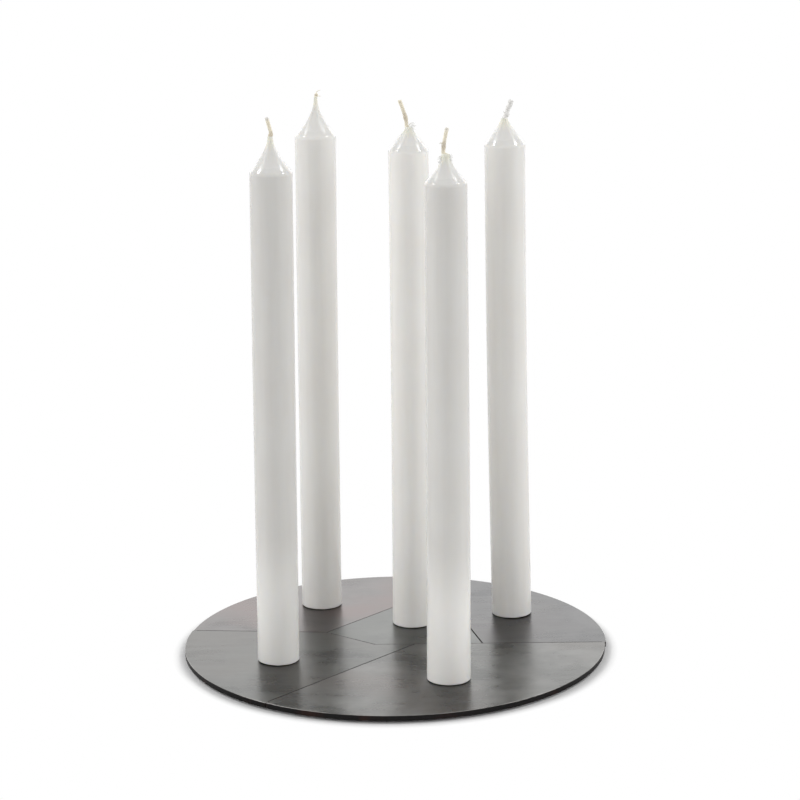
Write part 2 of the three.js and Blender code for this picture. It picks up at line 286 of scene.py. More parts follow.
def blackened_steel(plate):
    look = PATINA_OF[plate]
    material, tree, shader = finish_called(f"blackened steel {plate.replace('_', ' ')}")
    coordinates = place(tree, "ShaderNodeTexCoord")
    spot = coordinates.outputs["Object"]
    moved = place(tree, "ShaderNodeVectorMath", {0: spot, 1: look["cut_from"]}, operation="ADD")
    clouded = place(
        tree,
        "ShaderNodeGroup",
        {"Place": moved.outputs[0], "Dark": look["dark"], "Light": look["light"], "Stain": look["stain"],
         "Stain Amount": look["stained"]},
        node_tree=patina,
    ).outputs
    edged = place(
        tree,
        "ShaderNodeGroup",
        {"Place": spot, "Facing": coordinates.outputs["Normal"], "Color": clouded["Color"],
         "Roughness": clouded["Roughness"], "Cut Face Scale and Shade": CUT_FACE_SCALE_AND_SHADE, "Rust": RUST, "Bright": RUBBED_STEEL_AND_HIGHLIGHT},
        node_tree=edges,
    ).outputs
    pitted = relief(tree, clouded["Height"], 0.00001, 0.3)
    striped = relief(tree, edged["Height"], 0.00008, 0.6, pitted)
    tree.links.new(edged["Color"], shader.inputs["Base Color"])
    tree.links.new(edged["Roughness"], shader.inputs["Roughness"])
    tree.links.new(striped, shader.inputs["Normal"])
    shader.inputs["Metallic"].default_value = 1
    return material


for plate in PLATES:
    coat(f"{plate}_plate", blackened_steel(plate))


# Prickets: pins turned from bright steel bar, pointed at the top and riveted into a countersunk
# hole from below. The candle hides them, and turning leaves fine rings round the shank.

TURNED_STEEL = (0.42, 0.41, 0.4, 1)
TURNED_GROOVE = (0.24, 0.235, 0.23, 1)
LATHE_FEED = 0.0004


def turned_steel_finish():
    material, tree, shader = finish_called("turned steel")
    spot = place(tree, "ShaderNodeTexCoord").outputs["Object"]
    height = place(tree, "ShaderNodeSeparateXYZ", {"Vector": spot}).outputs["Z"]
    ring = work_out(tree, "SINE", work_out(tree, "MULTIPLY", height, 2 * math.pi / LATHE_FEED))
    blur = clouds_on(tree, spot, 700, 3)
    groove = work_out(tree, "MULTIPLY_ADD", ring, 0.25, blur)
    colour = fade(tree, groove, 0.3, 0.7, TURNED_GROOVE, TURNED_STEEL)
    tree.links.new(colour, shader.inputs["Base Color"])
    tree.links.new(between(tree, groove, 0.2, 0.8, 0.42, 0.26), shader.inputs["Roughness"])
    tree.links.new(relief(tree, groove, 0.00004, 0.4), shader.inputs["Normal"])
    shader.inputs["Metallic"].default_value = 1
    return material


turned_steel = turned_steel_finish()
for plate in PLATES:
    coat(f"{plate}_pricket", turned_steel)


# Dinner candles: white wax poured round a cotton wick in a smooth tube, so the sides are straight and
# softly glossy. The candle was drawn out of its mould by the wick, which left a rounded shoulder and a
# cone with soft folds, and it was pushed down on the pricket until its base nearly met the plate.

MM = 0.001
CANDLE_SIDES = 96
BASE_ROUND = 0.5 * MM
SHOULDER_ROUND = 3.2 * MM
PRICKET_HOLE_RADIUS = 1.9 * MM
PRICKET_HOLE_DEPTH = 20 * MM
PRICKET_POINT = 8 * MM
SEAT_HEIGHT = 4.6 * MM
BASE_ROUND_RINGS = 7
SIDE_RINGS = 44
SHOULDER_RINGS = 8
CONE_RINGS = 26
TIP_RINGS = 5
TIP_DOME = 0.35
# The cone has five folds, and three weaker ones across them.
WAX_FOLDS = 5
CROSS_FOLDS = 3
CROSS_FOLD_DEPTH = 0.4
# How deep the waves of the sides and the chips of the lower edge are, and how many there are round a
# radian and along a metre.
WAX_WAVE = 0.04 * MM
WAVES_AROUND = 0.7
WAVES_ALONG = 28
WAVY_FROM_RADIUS = 2.2 * MM
BASE_CHIPS = 0.12 * MM
CHIPS_AROUND = 3

# For each candle: where it stands, its radius, how much wider its base and narrower its top is, its lean
# to the right in degrees and how far its middle bows to the right, the heights of its shoulder and of the
# cone above it, the radius at the wax tip, how hollow the cone is, how far right the tip was drawn, and
# how deep its folds are.
CANDLE_OF = {
    "centre": dict(
        at=(9.7, 32.6), radius=11.05, taper=0.15, lean=0.25, bow=0.3,
        shoulder=269.75, cone=9.95, neck=2.3, flare=1.28, drawn=0.6, fold=0.05,
    ),
    "front_left": dict(
        at=(-63.4, -25.9), radius=11.25, taper=0, lean=0.55, bow=-0.2,
        shoulder=269.77, cone=16.33, neck=1.35, flare=1.74, drawn=-0.2, fold=0.06,
    ),
    "back_left": dict(
        at=(-41.8, 67.1), radius=11.3, taper=0, lean=0.44, bow=-0.3,
        shoulder=272.3, cone=19.1, neck=0.95, flare=2.03, drawn=0.35, fold=0.06,
    ),
    "front_right": dict(
        at=(28.15, -60.32), radius=11.3, taper=0.4, lean=0.26, bow=0.3,
        shoulder=269.3, cone=12.29, neck=2.3, flare=1.8, drawn=0.1, fold=0.05,
    ),
    "back_right": dict(
        at=(65.72, 46.99), radius=11.1, taper=0, lean=-0.48, bow=-0.7,
        shoulder=269.6, cone=11.72, neck=1.75, flare=1.2, drawn=-0.2, fold=0.04,
    ),
}


def standing(candle):
    """The candle's own axes: its base on the plate, leaning as it was pushed on."""
    x, y = candle["at"]
    lean = Matrix.Rotation(math.radians(candle["lean"]), 4, "Y")
    return Matrix.Translation((x * MM, y * MM, SEAT_HEIGHT)) @ lean


def rounding(out, up, radius, first, last, steps):
    """Rings on a rounded edge, from one turn to another."""
    turns = [first + (last - first) * i / steps for i in range(steps + 1)]
    return [(out + radius * math.cos(turn), up + radius * math.sin(turn)) for turn in turns]


def candle_outline(candle):
    """Radius and height of each ring, from the pricket hole's end round the outside to the wax tip."""
    side = candle["radius"] * MM
    side_top = candle["shoulder"] * MM - SHOULDER_ROUND
    wax_tip = (candle["shoulder"] + candle["cone"]) * MM
    neck = candle["neck"] * MM
    # The round of the shoulder stops at the turn where the cone's own slope takes over, without a crease.
    # From a first guess it is worked out again until it no longer changes.
    shoulder_turn = math.radians(40)
    for _ in range(12):
        wide = side - SHOULDER_ROUND + SHOULDER_ROUND * math.cos(shoulder_turn)
        low = side_top + SHOULDER_ROUND * math.sin(shoulder_turn)
        shoulder_turn = math.atan(candle["flare"] * (wide - neck) / (wax_tip - low))
    rings = [
        (0, PRICKET_HOLE_DEPTH),
        (PRICKET_HOLE_RADIUS, PRICKET_HOLE_DEPTH - PRICKET_POINT),
        (PRICKET_HOLE_RADIUS, 0),
        (0.6 * side, 0),
    ]
    rings += rounding(side - BASE_ROUND, BASE_ROUND, BASE_ROUND, math.radians(-90), 0, BASE_ROUND_RINGS)
    for i in range(1, SIDE_RINGS):
        rings.append((side, BASE_ROUND + (side_top - BASE_ROUND) * i / SIDE_RINGS))
    rings += rounding(side - SHOULDER_ROUND, side_top, SHOULDER_ROUND, 0, shoulder_turn, SHOULDER_RINGS)
    for i in range(1, CONE_RINGS + 1):
        share = (i / CONE_RINGS) ** 1.3
        rings.append((neck + (wide - neck) * (1 - share) ** candle["flare"], low + (wax_tip - low) * share))
    for i in range(1, TIP_RINGS):
        turn = math.radians(90 * i / TIP_RINGS)
        rings.append((neck * math.cos(turn), wax_tip + TIP_DOME * neck * math.sin(turn)))
    rings.append((0, wax_tip + TIP_DOME * neck))
    return rings


def poured_surface(radius, turn, height, candle, seed):
    """Where a point of the outline ends up once the wax is wavy, folded, tapered, bowed and drawn aside."""
    shoulder = candle["shoulder"] * MM
    share = min(max((height - shoulder) / (candle["cone"] * MM), 0), 1)
    fold = math.cos(WAX_FOLDS * turn + candle["cone"])
    fold += CROSS_FOLD_DEPTH * math.cos(CROSS_FOLDS * turn + seed)
    radius *= 1 + candle["fold"] * math.sin(math.pi * share) ** 2 * fold
    if radius > WAVY_FROM_RADIUS:
        around = Vector((math.cos(turn), math.sin(turn), 0))
        spot = around * WAVES_AROUND + Vector((seed, 0, height * WAVES_ALONG))
        radius += WAX_WAVE * noise.noise(spot)
        if height < BASE_ROUND:
            chips = noise.noise(around * CHIPS_AROUND + Vector((seed, 0, 0.5)))
            height += BASE_CHIPS * chips * (1 - height / BASE_ROUND)
    up = height / (shoulder + candle["cone"] * MM)
    radius *= 1 + candle["taper"] / candle["radius"] * (1 - 2 * up)
    aside = (candle["drawn"] * share**1.5 + candle["bow"] * 4 * up * (1 - up)) * MM
    return Vector((radius * math.cos(turn) + aside, radius * math.sin(turn), height))


def mesh_of(name, points, faces):
    """A smooth mesh from its points and faces."""
    mesh = bpy.data.meshes.new(name)
    mesh.from_pydata([tuple(point) for point in points], [], faces)
    mesh.shade_smooth()
    return mesh


def candle_faces(rows):
    """Faces between rows of points, each row a closed ring. The rows with one point close the ends."""
    faces = []
    first = 0
    for lower, upper in zip(rows, rows[1:]):
        above = first + len(lower)
        count = max(len(lower), len(upper))
        for k in range(count):
            after = (k + 1) % count
            if len(lower) == 1:
                faces.append((first, above + after, above + k))
            elif len(upper) == 1:
                faces.append((first + k, first + after, above))
            else:
                faces.append((first + k, first + after, above + after, above + k))
        first = above
    return faces


def stand_up(name, mesh, material, body, node_name):
    """Puts a new piece in the scene, on its body, in place of the CAD piece that it stands for."""
    piece = bpy.data.objects.new(name, mesh)
    bpy.context.collection.objects.link(piece)
    piece.data.materials.append(material)
    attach(piece, body)
    if node_name:
        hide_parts(node_name)


def give_each_point(mesh, name, values):
    """Stores one number for each point of a mesh, for its finish to read."""
    mesh.attributes.new(name, "FLOAT", "POINT").data.foreach_set("value", values)


# The cone's wax, painted darker as shade against the light that falls on it, starts this far under the
# shoulder, and the cone's dull skin starts this far above the top of the straight side and is whole a
# little higher, all in millimetres.
DRAWN_UNDER_SHOULDER = 3.4
DULL_FROM = 2.3
DULL_OVER = 3.5


def candle_mesh(plate, seed):
    """The candle, with how far up the drawn cone each point is, and how dull the wax is there."""
    candle = CANDLE_OF[plate]
    upright = standing(candle)
    side_top = candle["shoulder"] - SHOULDER_ROUND / MM
    rows = []
    shares = []
    dulls = []
    for radius, height in candle_outline(candle):
        turns = [0] if radius == 0 else [2 * math.pi * k / CANDLE_SIDES for k in range(CANDLE_SIDES)]
        rows.append([upright @ poured_surface(radius, turn, height, candle, seed) for turn in turns])
        from_start = height / MM - candle["shoulder"] + DRAWN_UNDER_SHOULDER
        share = from_start / (candle["cone"] + DRAWN_UNDER_SHOULDER)
        dull = (height / MM - side_top - DULL_FROM) / DULL_OVER
        shares.extend([min(max(share, 0), 1) * (radius > 0)] * len(turns))
        dulls.extend([min(max(dull, 0), 1)] * len(turns))
    mesh = mesh_of(f"{plate}_dinner_candle", [point for row in rows for point in row], candle_faces(rows))
    give_each_point(mesh, "up_the_cone", shares)
    give_each_point(mesh, "dull", dulls)
    return mesh


WAX_WHITE = (0.74, 0.73, 0.705)
WAX_SHADE = (0.715, 0.7, 0.672)
# The cone's wax colour is painted shade, darker than most candles' white.
SHADED_DRAWN_WAX = (0.7, 0.695, 0.675, 1)
WAX_OVER_WICK = (0.74, 0.73, 0.63, 1)
WAX_SPECK = (0.36, 0.33, 0.28, 1)
WAX_IOR = 1.44
# Painted light: from the first height down to the second the wax grows whiter, as if lit low from in front.
PAINTED_LIGHT_FROM = 0.085
PAINTED_LIGHT_FULL_UNDER = 0.04
# How white the whole candle is, and how much whiter low down, which is painted light on the two front
# candles. No two are equally white.
WHITENESS_AND_LIT_BASE = {
    "centre": (1.17, 1), "front_left": (0.92, 1.2), "back_left": (1.06, 1),
    "front_right": (0.94, 1.22), "back_right": (1.07, 1),
}


def poured_wax():
    """Mould streaks, clouds, specks, painted light low down, and painted shade on the creamy, dull cone."""
    tree, start, end = group_called(
        "poured wax",
        {"Place": "NodeSocketVector", "White": "NodeSocketColor", "Shade": "NodeSocketColor",
         "Lit Low White": "NodeSocketColor", "Lit Low Amount": "NodeSocketFloat", "Up the Cone": "NodeSocketFloat",
         "Dull": "NodeSocketFloat"},
        {"Color": "NodeSocketColor", "Roughness": "NodeSocketFloat", "Height": "NodeSocketFloat"},
    )
    spot = start.outputs["Place"]
    up_the_cone = start.outputs["Up the Cone"]
    drawn_out = place(tree, "ShaderNodeMapping", {"Vector": spot, "Scale": (1, 1, 0.05)})
    streaks = clouds_on(tree, drawn_out.outputs[0], 260, 3)
    clouds = clouds_on(tree, spot, 35, 4)
    skin = clouds_on(tree, spot, 420, 2)

    mottle = work_out(tree, "MULTIPLY", clouds, 0.5)
    mottle = work_out(tree, "MULTIPLY_ADD", streaks, 0.5, mottle)
    mottle = between(tree, mottle, 0.38, 0.62, smooth=False)
    colour = blend(tree, mottle, start.outputs["White"], start.outputs["Shade"])
    upward = place(tree, "ShaderNodeSeparateXYZ", {"Vector": spot}).outputs["Z"]
    # Painted light on the lower part of the candle, given as a whiter wax.
    paler = between(tree, upward, PAINTED_LIGHT_FROM, PAINTED_LIGHT_FULL_UNDER, 0, start.outputs["Lit Low Amount"])
    colour = blend(tree, paler, colour, start.outputs["Lit Low White"])
    # Painted shade: the cone's wax is darker, against the light that falls on it from above.
    colour = blend(tree, between(tree, up_the_cone, 0, 0.2, 0, 0.9), colour, SHADED_DRAWN_WAX)
    colour = blend(tree, between(tree, up_the_cone, 0.55, 1, 0, 0.9), colour, WAX_OVER_WICK)
    colour = blend(tree, few_spots(tree, spot, 95, 0.02, 0.035, 0.93, 0.95), colour, WAX_SPECK)
    tree.links.new(colour, end.inputs["Color"])

    rough = between(tree, skin, 0.3, 0.7, 0.08, 0.13)
    rough = work_out(tree, "MULTIPLY_ADD", start.outputs["Dull"], 0.27, rough)
    tree.links.new(rough, end.inputs["Roughness"])
    tree.links.new(work_out(tree, "MULTIPLY_ADD", streaks, 0.6, skin), end.inputs["Height"])
    return tree


wax = poured_wax()


def tinted(colour, factor):
    """A colour made lighter or darker, at most nearly white."""
    return (*(min(part * factor, 0.95) for part in colour), 1)


def of_each_point(tree, name):
    """The number that each point of the mesh was given."""
    return place(tree, "ShaderNodeAttribute", attribute_name=name).outputs["Fac"]


def candle_wax_finish(plate):
    white, lit_low_down = WHITENESS_AND_LIT_BASE[plate]
    material, tree, shader = finish_called(f"white candle wax {plate.replace('_', ' ')}")
    poured = place(
        tree,
        "ShaderNodeGroup",
        {"Place": place(tree, "ShaderNodeTexCoord").outputs["Object"],
         "White": tinted(WAX_WHITE, white), "Shade": tinted(WAX_SHADE, white),
         "Lit Low White": tinted(WAX_WHITE, white * lit_low_down), "Lit Low Amount": 1 if lit_low_down > 1 else 0,
         "Up the Cone": of_each_point(tree, "up_the_cone"), "Dull": of_each_point(tree, "dull")},
        node_tree=wax,
    ).outputs
    tree.links.new(poured["Color"], shader.inputs["Base Color"])
    tree.links.new(poured["Roughness"], shader.inputs["Roughness"])
    tree.links.new(relief(tree, poured["Height"], 0.00001, 0.3), shader.inputs["Normal"])
    shader.inputs["Subsurface Weight"].default_value = 0.3
    shader.inputs["Subsurface Radius"].default_value = (1, 0.85, 0.65)
    shader.inputs["Subsurface Scale"].default_value = 0.004
    shader.inputs["IOR"].default_value = WAX_IOR
    return material


for number, plate in enumerate(PLATES):
    stand_up(
        f"{plate}_dinner_candle",
        candle_mesh(plate, 3.7 * number),
        candle_wax_finish(plate),
        f"{plate}_taper",
        f"{plate}_candle",
    )


# Wax beads: where the mould's mouth was topped up, wax ran beside the wick and set in lumps on two of
# the candles. They are one with the candle. Their wax is painted near white, as painted light for the
# backlight that shines through thin wax.

BEAD_RINGS = 12
BEAD_SIDES = 20
BEAD_LUMPS = 0.1
# Painted light: both bead colours are whiter than the candle wax, standing for backlight through thin wax.
BACKLIT_THIN_WAX = (0.97, 0.97, 0.96, 1)
BACKLIT_THICK_WAX = (0.92, 0.92, 0.9, 1)
# Each bead: how far right, back and up of the wax tip its middle is, and its radius, in millimetres.
BEADS_OF = {
    "centre": ((2.0, 0.2, 1.4, 1.7), (1.3, 0.2, 0.9, 1.6), (1.6, 0.2, -0.4, 1.9), (1.4, 0.2, -2.0, 2.1)),
    "front_right": (
        (-3.0, 0.1, -1.6, 1.15),
        (-3.1, -0.1, -3.2, 1.2),
        (2.6, 0.1, -0.9, 1.15),
        (2.5, -0.3, -2.3, 1.0),
    ),
}


def bead_mesh(plate, seed):
    """All the beads of one candle, each a lumpy ball: its rings, and then its top and its bottom."""
    candle = CANDLE_OF[plate]
    upright = standing(candle)
    tip = Vector((candle["drawn"], 0, candle["shoulder"] + candle["cone"]))
    points = []
    faces = []
    for x, y, z, radius in BEADS_OF[plate]:
        middle = tip + Vector((x, y, z))
        first = len(points)
        for i in range(1, BEAD_RINGS):
            polar = math.pi * i / BEAD_RINGS
            for k in range(BEAD_SIDES):
                turn = 2 * math.pi * k / BEAD_SIDES
                out = math.sin(polar)
                way = Vector((out * math.cos(turn), out * math.sin(turn), math.cos(polar)))
                lump = 1 + BEAD_LUMPS * noise.noise(way * 1.1 + Vector((seed, x, z)))
                points.append(upright @ ((middle + way * radius * lump) * MM))
        last = len(points) - BEAD_SIDES
        top, bottom = len(points), len(points) + 1
        points.append(upright @ ((middle + Vector((0, 0, radius))) * MM))
        points.append(upright @ ((middle - Vector((0, 0, radius))) * MM))
        for k in range(BEAD_SIDES):
            after = (k + 1) % BEAD_SIDES
            faces.append((top, first + k, first + after))
            faces.append((bottom, last + after, last + k))
            for row in range(first, last, BEAD_SIDES):
                faces.append((row + k, row + BEAD_SIDES + k, row + BEAD_SIDES + after, row + after))
    return mesh_of(f"{plate}_wax_beads", points, faces)


def spilled_wax_finish():
    material, tree, shader = finish_called("spilled candle wax painted backlit")
    spot = place(tree, "ShaderNodeTexCoord").outputs["Object"]
    cloud = clouds_on(tree, spot, 300, 2)
    colour = fade(tree, cloud, 0.35, 0.65, BACKLIT_THIN_WAX, BACKLIT_THICK_WAX)
    tree.links.new(colour, shader.inputs["Base Color"])
    tree.links.new(between(tree, cloud, 0.3, 0.7, 0.3, 0.4), shader.inputs["Roughness"])
    shader.inputs["IOR"].default_value = WAX_IOR
    return material


spilled_wax = spilled_wax_finish()
for number, plate in enumerate(BEADS_OF):
    stand_up(
        f"{plate}_wax_beads",
        bead_mesh(plate, 1.9 * number),
        spilled_wax,
        f"{plate}_taper",
        None,
    )


# Wicks: three cotton strands, braided flat and soaked with wax. The free end was cut by hand, so each
# one bends its own way, with a darker soaked knot low down and a pale waxed tip.

STRAND_RADIUS = 0.68 * MM
BRAID_WIDTH = 0.37 * MM
BRAID_DEPTH = 0.13 * MM
BRAID_PITCH = 4.6 * MM
THREAD_RADIUS = 0.24 * MM
STRAND_WOBBLE = 0.12
WOBBLES_ALONG = 18
CUT_END_WIDTH = 0.8
THREAD_THINS = 0.5
STRAND_SIDES = 8
STRAND_RINGS = 90
THREAD_RINGS = 12
CURVE_STEPS = 16
WICK_ROOT = 4 * MM
# How much thicker the knot is, and how long a share of the wick it takes.
KNOT_SWELL = 0.22
KNOT_LENGTH = 0.09
# Past this share of its length the braid frays, and is this much wider at its end.
FRAYS_FROM = 0.86
FRAYED = 0.25
# A full coat of wax holds the strands this much closer together, and makes them this much thicker, with
# lumps of this height and this number along the wick.
WAX_DRAWS_IN = 0.6
WAX_THICKENS = 0.4
WAX_LUMPS = 0.35
LUMPS_ALONG = 9

# For each wick: the points that its middle follows above the wax tip (right, back and up, in millimetres),
# where its knot is along it, from 0 at the wax to 1 at the cut end, how much thicker it is than most, how
# well a coat of wax covers it, how white its end is, and the loose threads that stick out. A knot swells it.
WICK_OF = {
    "centre": dict(
        bends=((-1.3, 0.2, 0.6), (-1.5, 0.3, 3.2), (-2.0, 0.3, 5.8), (-3.4, 0.1, 10.4), (-5.0, -0.3, 14.8)),
        knot=0.4, thick=1, waxed=0, white_end=0, threads=(((-4.8, -0.4, 14.0), (-5.9, -0.4, 15.0)),),
    ),
    "front_left": dict(
        bends=((0.4, 0.2, 2), (-0.5, 0.3, 5.6), (-1.7, 0, 10.1)),
        knot=0.08, thick=1, waxed=0, white_end=1, threads=(),
    ),
    "back_left": dict(
        bends=((0.3, 0.2, 0.9), (0.4, 0.2, 1.9)), knot=0.6, thick=0.85, waxed=0.1, white_end=0,
        threads=(
            ((0.1, -0.2, 1.5), (0.5, -0.2, 2.8), (1.6, -0.2, 3.6), (2.6, -0.2, 3.9)),
            ((0.6, -0.3, 0.8), (1.7, -0.4, 0.6), (2.8, -0.4, 0.5)),
        ),
    ),
    "front_right": dict(
        bends=((-1.1, 0.2, 0.5), (-1.1, 0.2, 3.2), (-0.8, 0.3, 6), (0, 0.1, 10.4), (0.7, 0, 13.8)),
        knot=0.35, thick=0.95, waxed=0.2, white_end=0.4,
        threads=(
            ((-1.3, -0.3, 5.2), (-2.3, -0.4, 5.9), (-3.3, -0.4, 6.1)),
            ((-1.4, -0.3, 5.6), (-2.7, -0.4, 6.6)),
        ),
    ),
    "back_right": dict(
        bends=((1.3, 0.2, 2.6), (1.9, 0.3, 5.2), (3.0, 0.1, 7.2), (3.9, 0.1, 9.9)),
        knot=0.25, thick=1.25, waxed=1, white_end=1, threads=(((0.3, -0.5, 3.2), (-0.6, -0.6, 4.2)),),
    ),
}


def smooth_path(points, steps):
    """Evenly spread points on a smooth curve through the given ones."""
    ends = [points[0] * 2 - points[1], *points, points[-1] * 2 - points[-2]]
    fine = []
    for i in range(1, len(ends) - 2):
        before, here, after, beyond = ends[i - 1 : i + 3]
        for k in range(CURVE_STEPS):
            t = k / CURVE_STEPS
            fine.append(
                0.5
                * (
                    2 * here
                    + (after - before) * t
                    + (2 * before - 5 * here + 4 * after - beyond) * t**2
                    + (3 * here - before - 3 * after + beyond) * t**3
                )
            )
    fine.append(points[-1])
    lengths = [0.0]
    for start, stop in zip(fine, fine[1:]):
        lengths.append(lengths[-1] + (stop - start).length)
    spread = []
    k = 0
    for i in range(steps + 1):
        wanted = lengths[-1] * i / steps
        while k < len(fine) - 2 and lengths[k + 1] < wanted:
            k += 1
        share = (wanted - lengths[k]) / max(lengths[k + 1] - lengths[k], 1e-9)
        spread.append(fine[k].lerp(fine[k + 1], min(share, 1)))
    return spread, lengths[-1]


def direction(path, i):
    """Which way a path runs at one of its points."""
    return (path[min(i + 1, len(path) - 1)] - path[max(i - 1, 0)]).normalized()


def strand_rows(path, radii):
    """Rings of points round a path, turned as little as can be from one to the next."""
    rows = []
    across = Vector((1, 0, 0))
    turns = [2 * math.pi * k / STRAND_SIDES for k in range(STRAND_SIDES)]
    for i, point in enumerate(path):
        ahead = direction(path, i)
        across = (across - ahead * across.dot(ahead)).normalized()
        up = ahead.cross(across)
        rows.append([point + (across * math.cos(turn) + up * math.sin(turn)) * radii[i] for turn in turns])
    return rows


def braid_strand(strand, middle, length, upright, wick, seed):
    """One strand of the braid, and how far along the wick each of its rings is."""
    path = []
    radii = []
    shares = []
    for i, point in enumerate(middle):
        share = i / STRAND_RINGS
        above = max((share - WICK_ROOT / length) / (1 - WICK_ROOT / length), 0)
        swell = 1 + KNOT_SWELL * math.exp(-(((above - wick["knot"]) / KNOT_LENGTH) ** 2))
        turn = 2 * math.pi * (share * length / BRAID_PITCH + strand / 3) + seed
        ahead = direction(middle, i)
        across = (Vector((1, 0, 0)) - ahead * ahead.x).normalized()
        deep = ahead.cross(across)
        offset = across * BRAID_WIDTH * math.cos(turn) + deep * BRAID_DEPTH * math.sin(2 * turn)
        loose = 1 + FRAYED * max(above - FRAYS_FROM, 0) / (1 - FRAYS_FROM)
        loose *= 1 - WAX_DRAWS_IN * wick["waxed"]
        path.append(upright @ (point + offset * swell * loose * wick["thick"]))
        wobble = 1 + STRAND_WOBBLE * noise.noise(Vector((share * WOBBLES_ALONG, strand * 5.1, seed)))
        lumps = WAX_LUMPS * noise.noise(Vector((share * LUMPS_ALONG, 0.3, seed)))
        wobble += wick["waxed"] * (WAX_THICKENS + lumps)
        end = 1 if i < STRAND_RINGS else CUT_END_WIDTH
        radii.append(STRAND_RADIUS * swell * wobble * end * wick["thick"])
        shares.append(above)
    return strand_rows(path, radii), shares


def wick_mesh(plate, seed):
    """The braid's three strands and its loose threads in one mesh, with how far along each point is."""
    candle, wick = CANDLE_OF[plate], WICK_OF[plate]
    tip = Vector((candle["drawn"], 0, candle["shoulder"] + candle["cone"])) * MM
    through = [tip + Vector((0, 0, -WICK_ROOT)), tip + Vector((0, 0, -0.3 * MM))]
    through += [tip + Vector(bend) * MM for bend in wick["bends"]]
    middle, length = smooth_path(through, STRAND_RINGS)
    upright = standing(candle)
    tubes = []
    shares = []
    for strand in range(3):
        rows, along = braid_strand(strand, middle, length, upright, wick, seed)
        tubes.append(rows)
        shares.extend(along)
    for thread in wick["threads"]:
        path, _ = smooth_path([tip + Vector(bend) * MM for bend in thread], THREAD_RINGS)
        thins = [THREAD_THINS * i / THREAD_RINGS for i in range(THREAD_RINGS + 1)]
        radii = [THREAD_RADIUS * (1 - thinner) for thinner in thins]
        tubes.append(strand_rows([upright @ point for point in path], radii))
        shares.extend([1] * (THREAD_RINGS + 1))
    points = []
    faces = []
    for rows in tubes:
        first = len(points)
        points.extend(point for row in rows for point in row)
        last = len(points) - STRAND_SIDES
        for low in range(first, last, STRAND_SIDES):
            for k in range(STRAND_SIDES):
                after = (k + 1) % STRAND_SIDES
                high = low + STRAND_SIDES
                faces.append((low + k, low + after, high + after, high + k))
        faces.append(tuple(first + k for k in range(STRAND_SIDES))[::-1])
        faces.append(tuple(last + k for k in range(STRAND_SIDES)))
    mesh = mesh_of(f"{plate}_braided_wick", points, faces)
    give_each_point(mesh, "along_wick", [share for share in shares for _ in range(STRAND_SIDES)])
    return mesh


COTTON = (0.88, 0.82, 0.67, 1)
SOAKED_COTTON = (0.6, 0.53, 0.42, 1)
WAXED_COTTON = (0.8, 0.79, 0.77, 1)
SHADE_BETWEEN_FIBRES = (0.6, 0.52, 0.38, 1)


def braided_cotton():
    """Fibres, darker where soaked at the knot, paler at the cut end and under wax, painted shade between."""
    tree, start, end = group_called(
        "braided cotton",
        {"Place": "NodeSocketVector", "Along": "NodeSocketFloat", "Knot": "NodeSocketFloat",
         "White End": "NodeSocketFloat", "Waxed": "NodeSocketFloat"},
        {"Color": "NodeSocketColor", "Roughness": "NodeSocketFloat", "Height": "NodeSocketFloat"},
    )
    along, waxed = start.outputs["Along"], start.outputs["Waxed"]
    fibres = clouds_on(tree, start.outputs["Place"], 2600, 3)
    patches = clouds_on(tree, start.outputs["Place"], 420, 3)
    off_knot = work_out(tree, "ABSOLUTE", work_out(tree, "SUBTRACT", along, start.outputs["Knot"]))
    soaked = between(tree, patches, 0.3, 0.6, 0.5, 1)
    soaked = work_out(tree, "MULTIPLY", between(tree, off_knot, 0.05, 0.3, 1, 0), soaked)
    colour = blend(tree, soaked, COTTON, SOAKED_COTTON)
    colour = blend(tree, between(tree, along, 0.8, 1, 0, start.outputs["White End"]), colour, WAXED_COTTON)
    coated = between(tree, work_out(tree, "ADD", patches, waxed), 0.7, 1)
    colour = blend(tree, coated, colour, WAXED_COTTON)
    # Painted shade between the fibres, less where wax fills them.
    fibre_shade_shows = work_out(tree, "MULTIPLY_ADD", waxed, -0.25, 0.3)
    colour = blend(tree, between(tree, fibres, 0.35, 0.7, 0, fibre_shade_shows), colour, SHADE_BETWEEN_FIBRES)
    tree.links.new(colour, end.inputs["Color"])
    tree.links.new(between(tree, soaked, 0, 1, 0.85, 0.5), end.inputs["Roughness"])
    tree.links.new(fibres, end.inputs["Height"])
    return tree


cotton = braided_cotton()


def wick_finish(plate):
    wick = WICK_OF[plate]
    material, tree, shader = finish_called(f"braided cotton {plate.replace('_', ' ')}")
    braided = place(
        tree,
        "ShaderNodeGroup",
        {"Place": place(tree, "ShaderNodeTexCoord").outputs["Object"],
         "Along": of_each_point(tree, "along_wick"),
         "Knot": wick["knot"], "White End": wick["white_end"], "Waxed": wick["waxed"]},
        node_tree=cotton,
    ).outputs
    tree.links.new(braided["Color"], shader.inputs["Base Color"])
    tree.links.new(braided["Roughness"], shader.inputs["Roughness"])
    fibres = relief(tree, braided["Height"], 0.00006, 0.4 - 0.3 * wick["waxed"])
    tree.links.new(fibres, shader.inputs["Normal"])
    return material


for number, plate in enumerate(PLATES):
    stand_up(
        f"{plate}_braided_wick",
        wick_mesh(plate, 0.9 * number),
        wick_finish(plate),
        f"{plate}_taper",
        f"{plate}_wick",
    )


# Table: a plain white top that runs out of the picture. Close to the disc it keeps the soft shadow, and
# farther out it shows as pure white.

TABLE_HALF = 8
TABLE_WHITE = (0.9, 0.9, 0.9, 1)
TABLE_TOOTH = (0.895, 0.895, 0.895, 1)
TABLE_BOUNCE = (0.7, 0.7, 0.7, 1)
CLEAR_OF_DISC = 0.1155
WHITE_FROM = 0.123


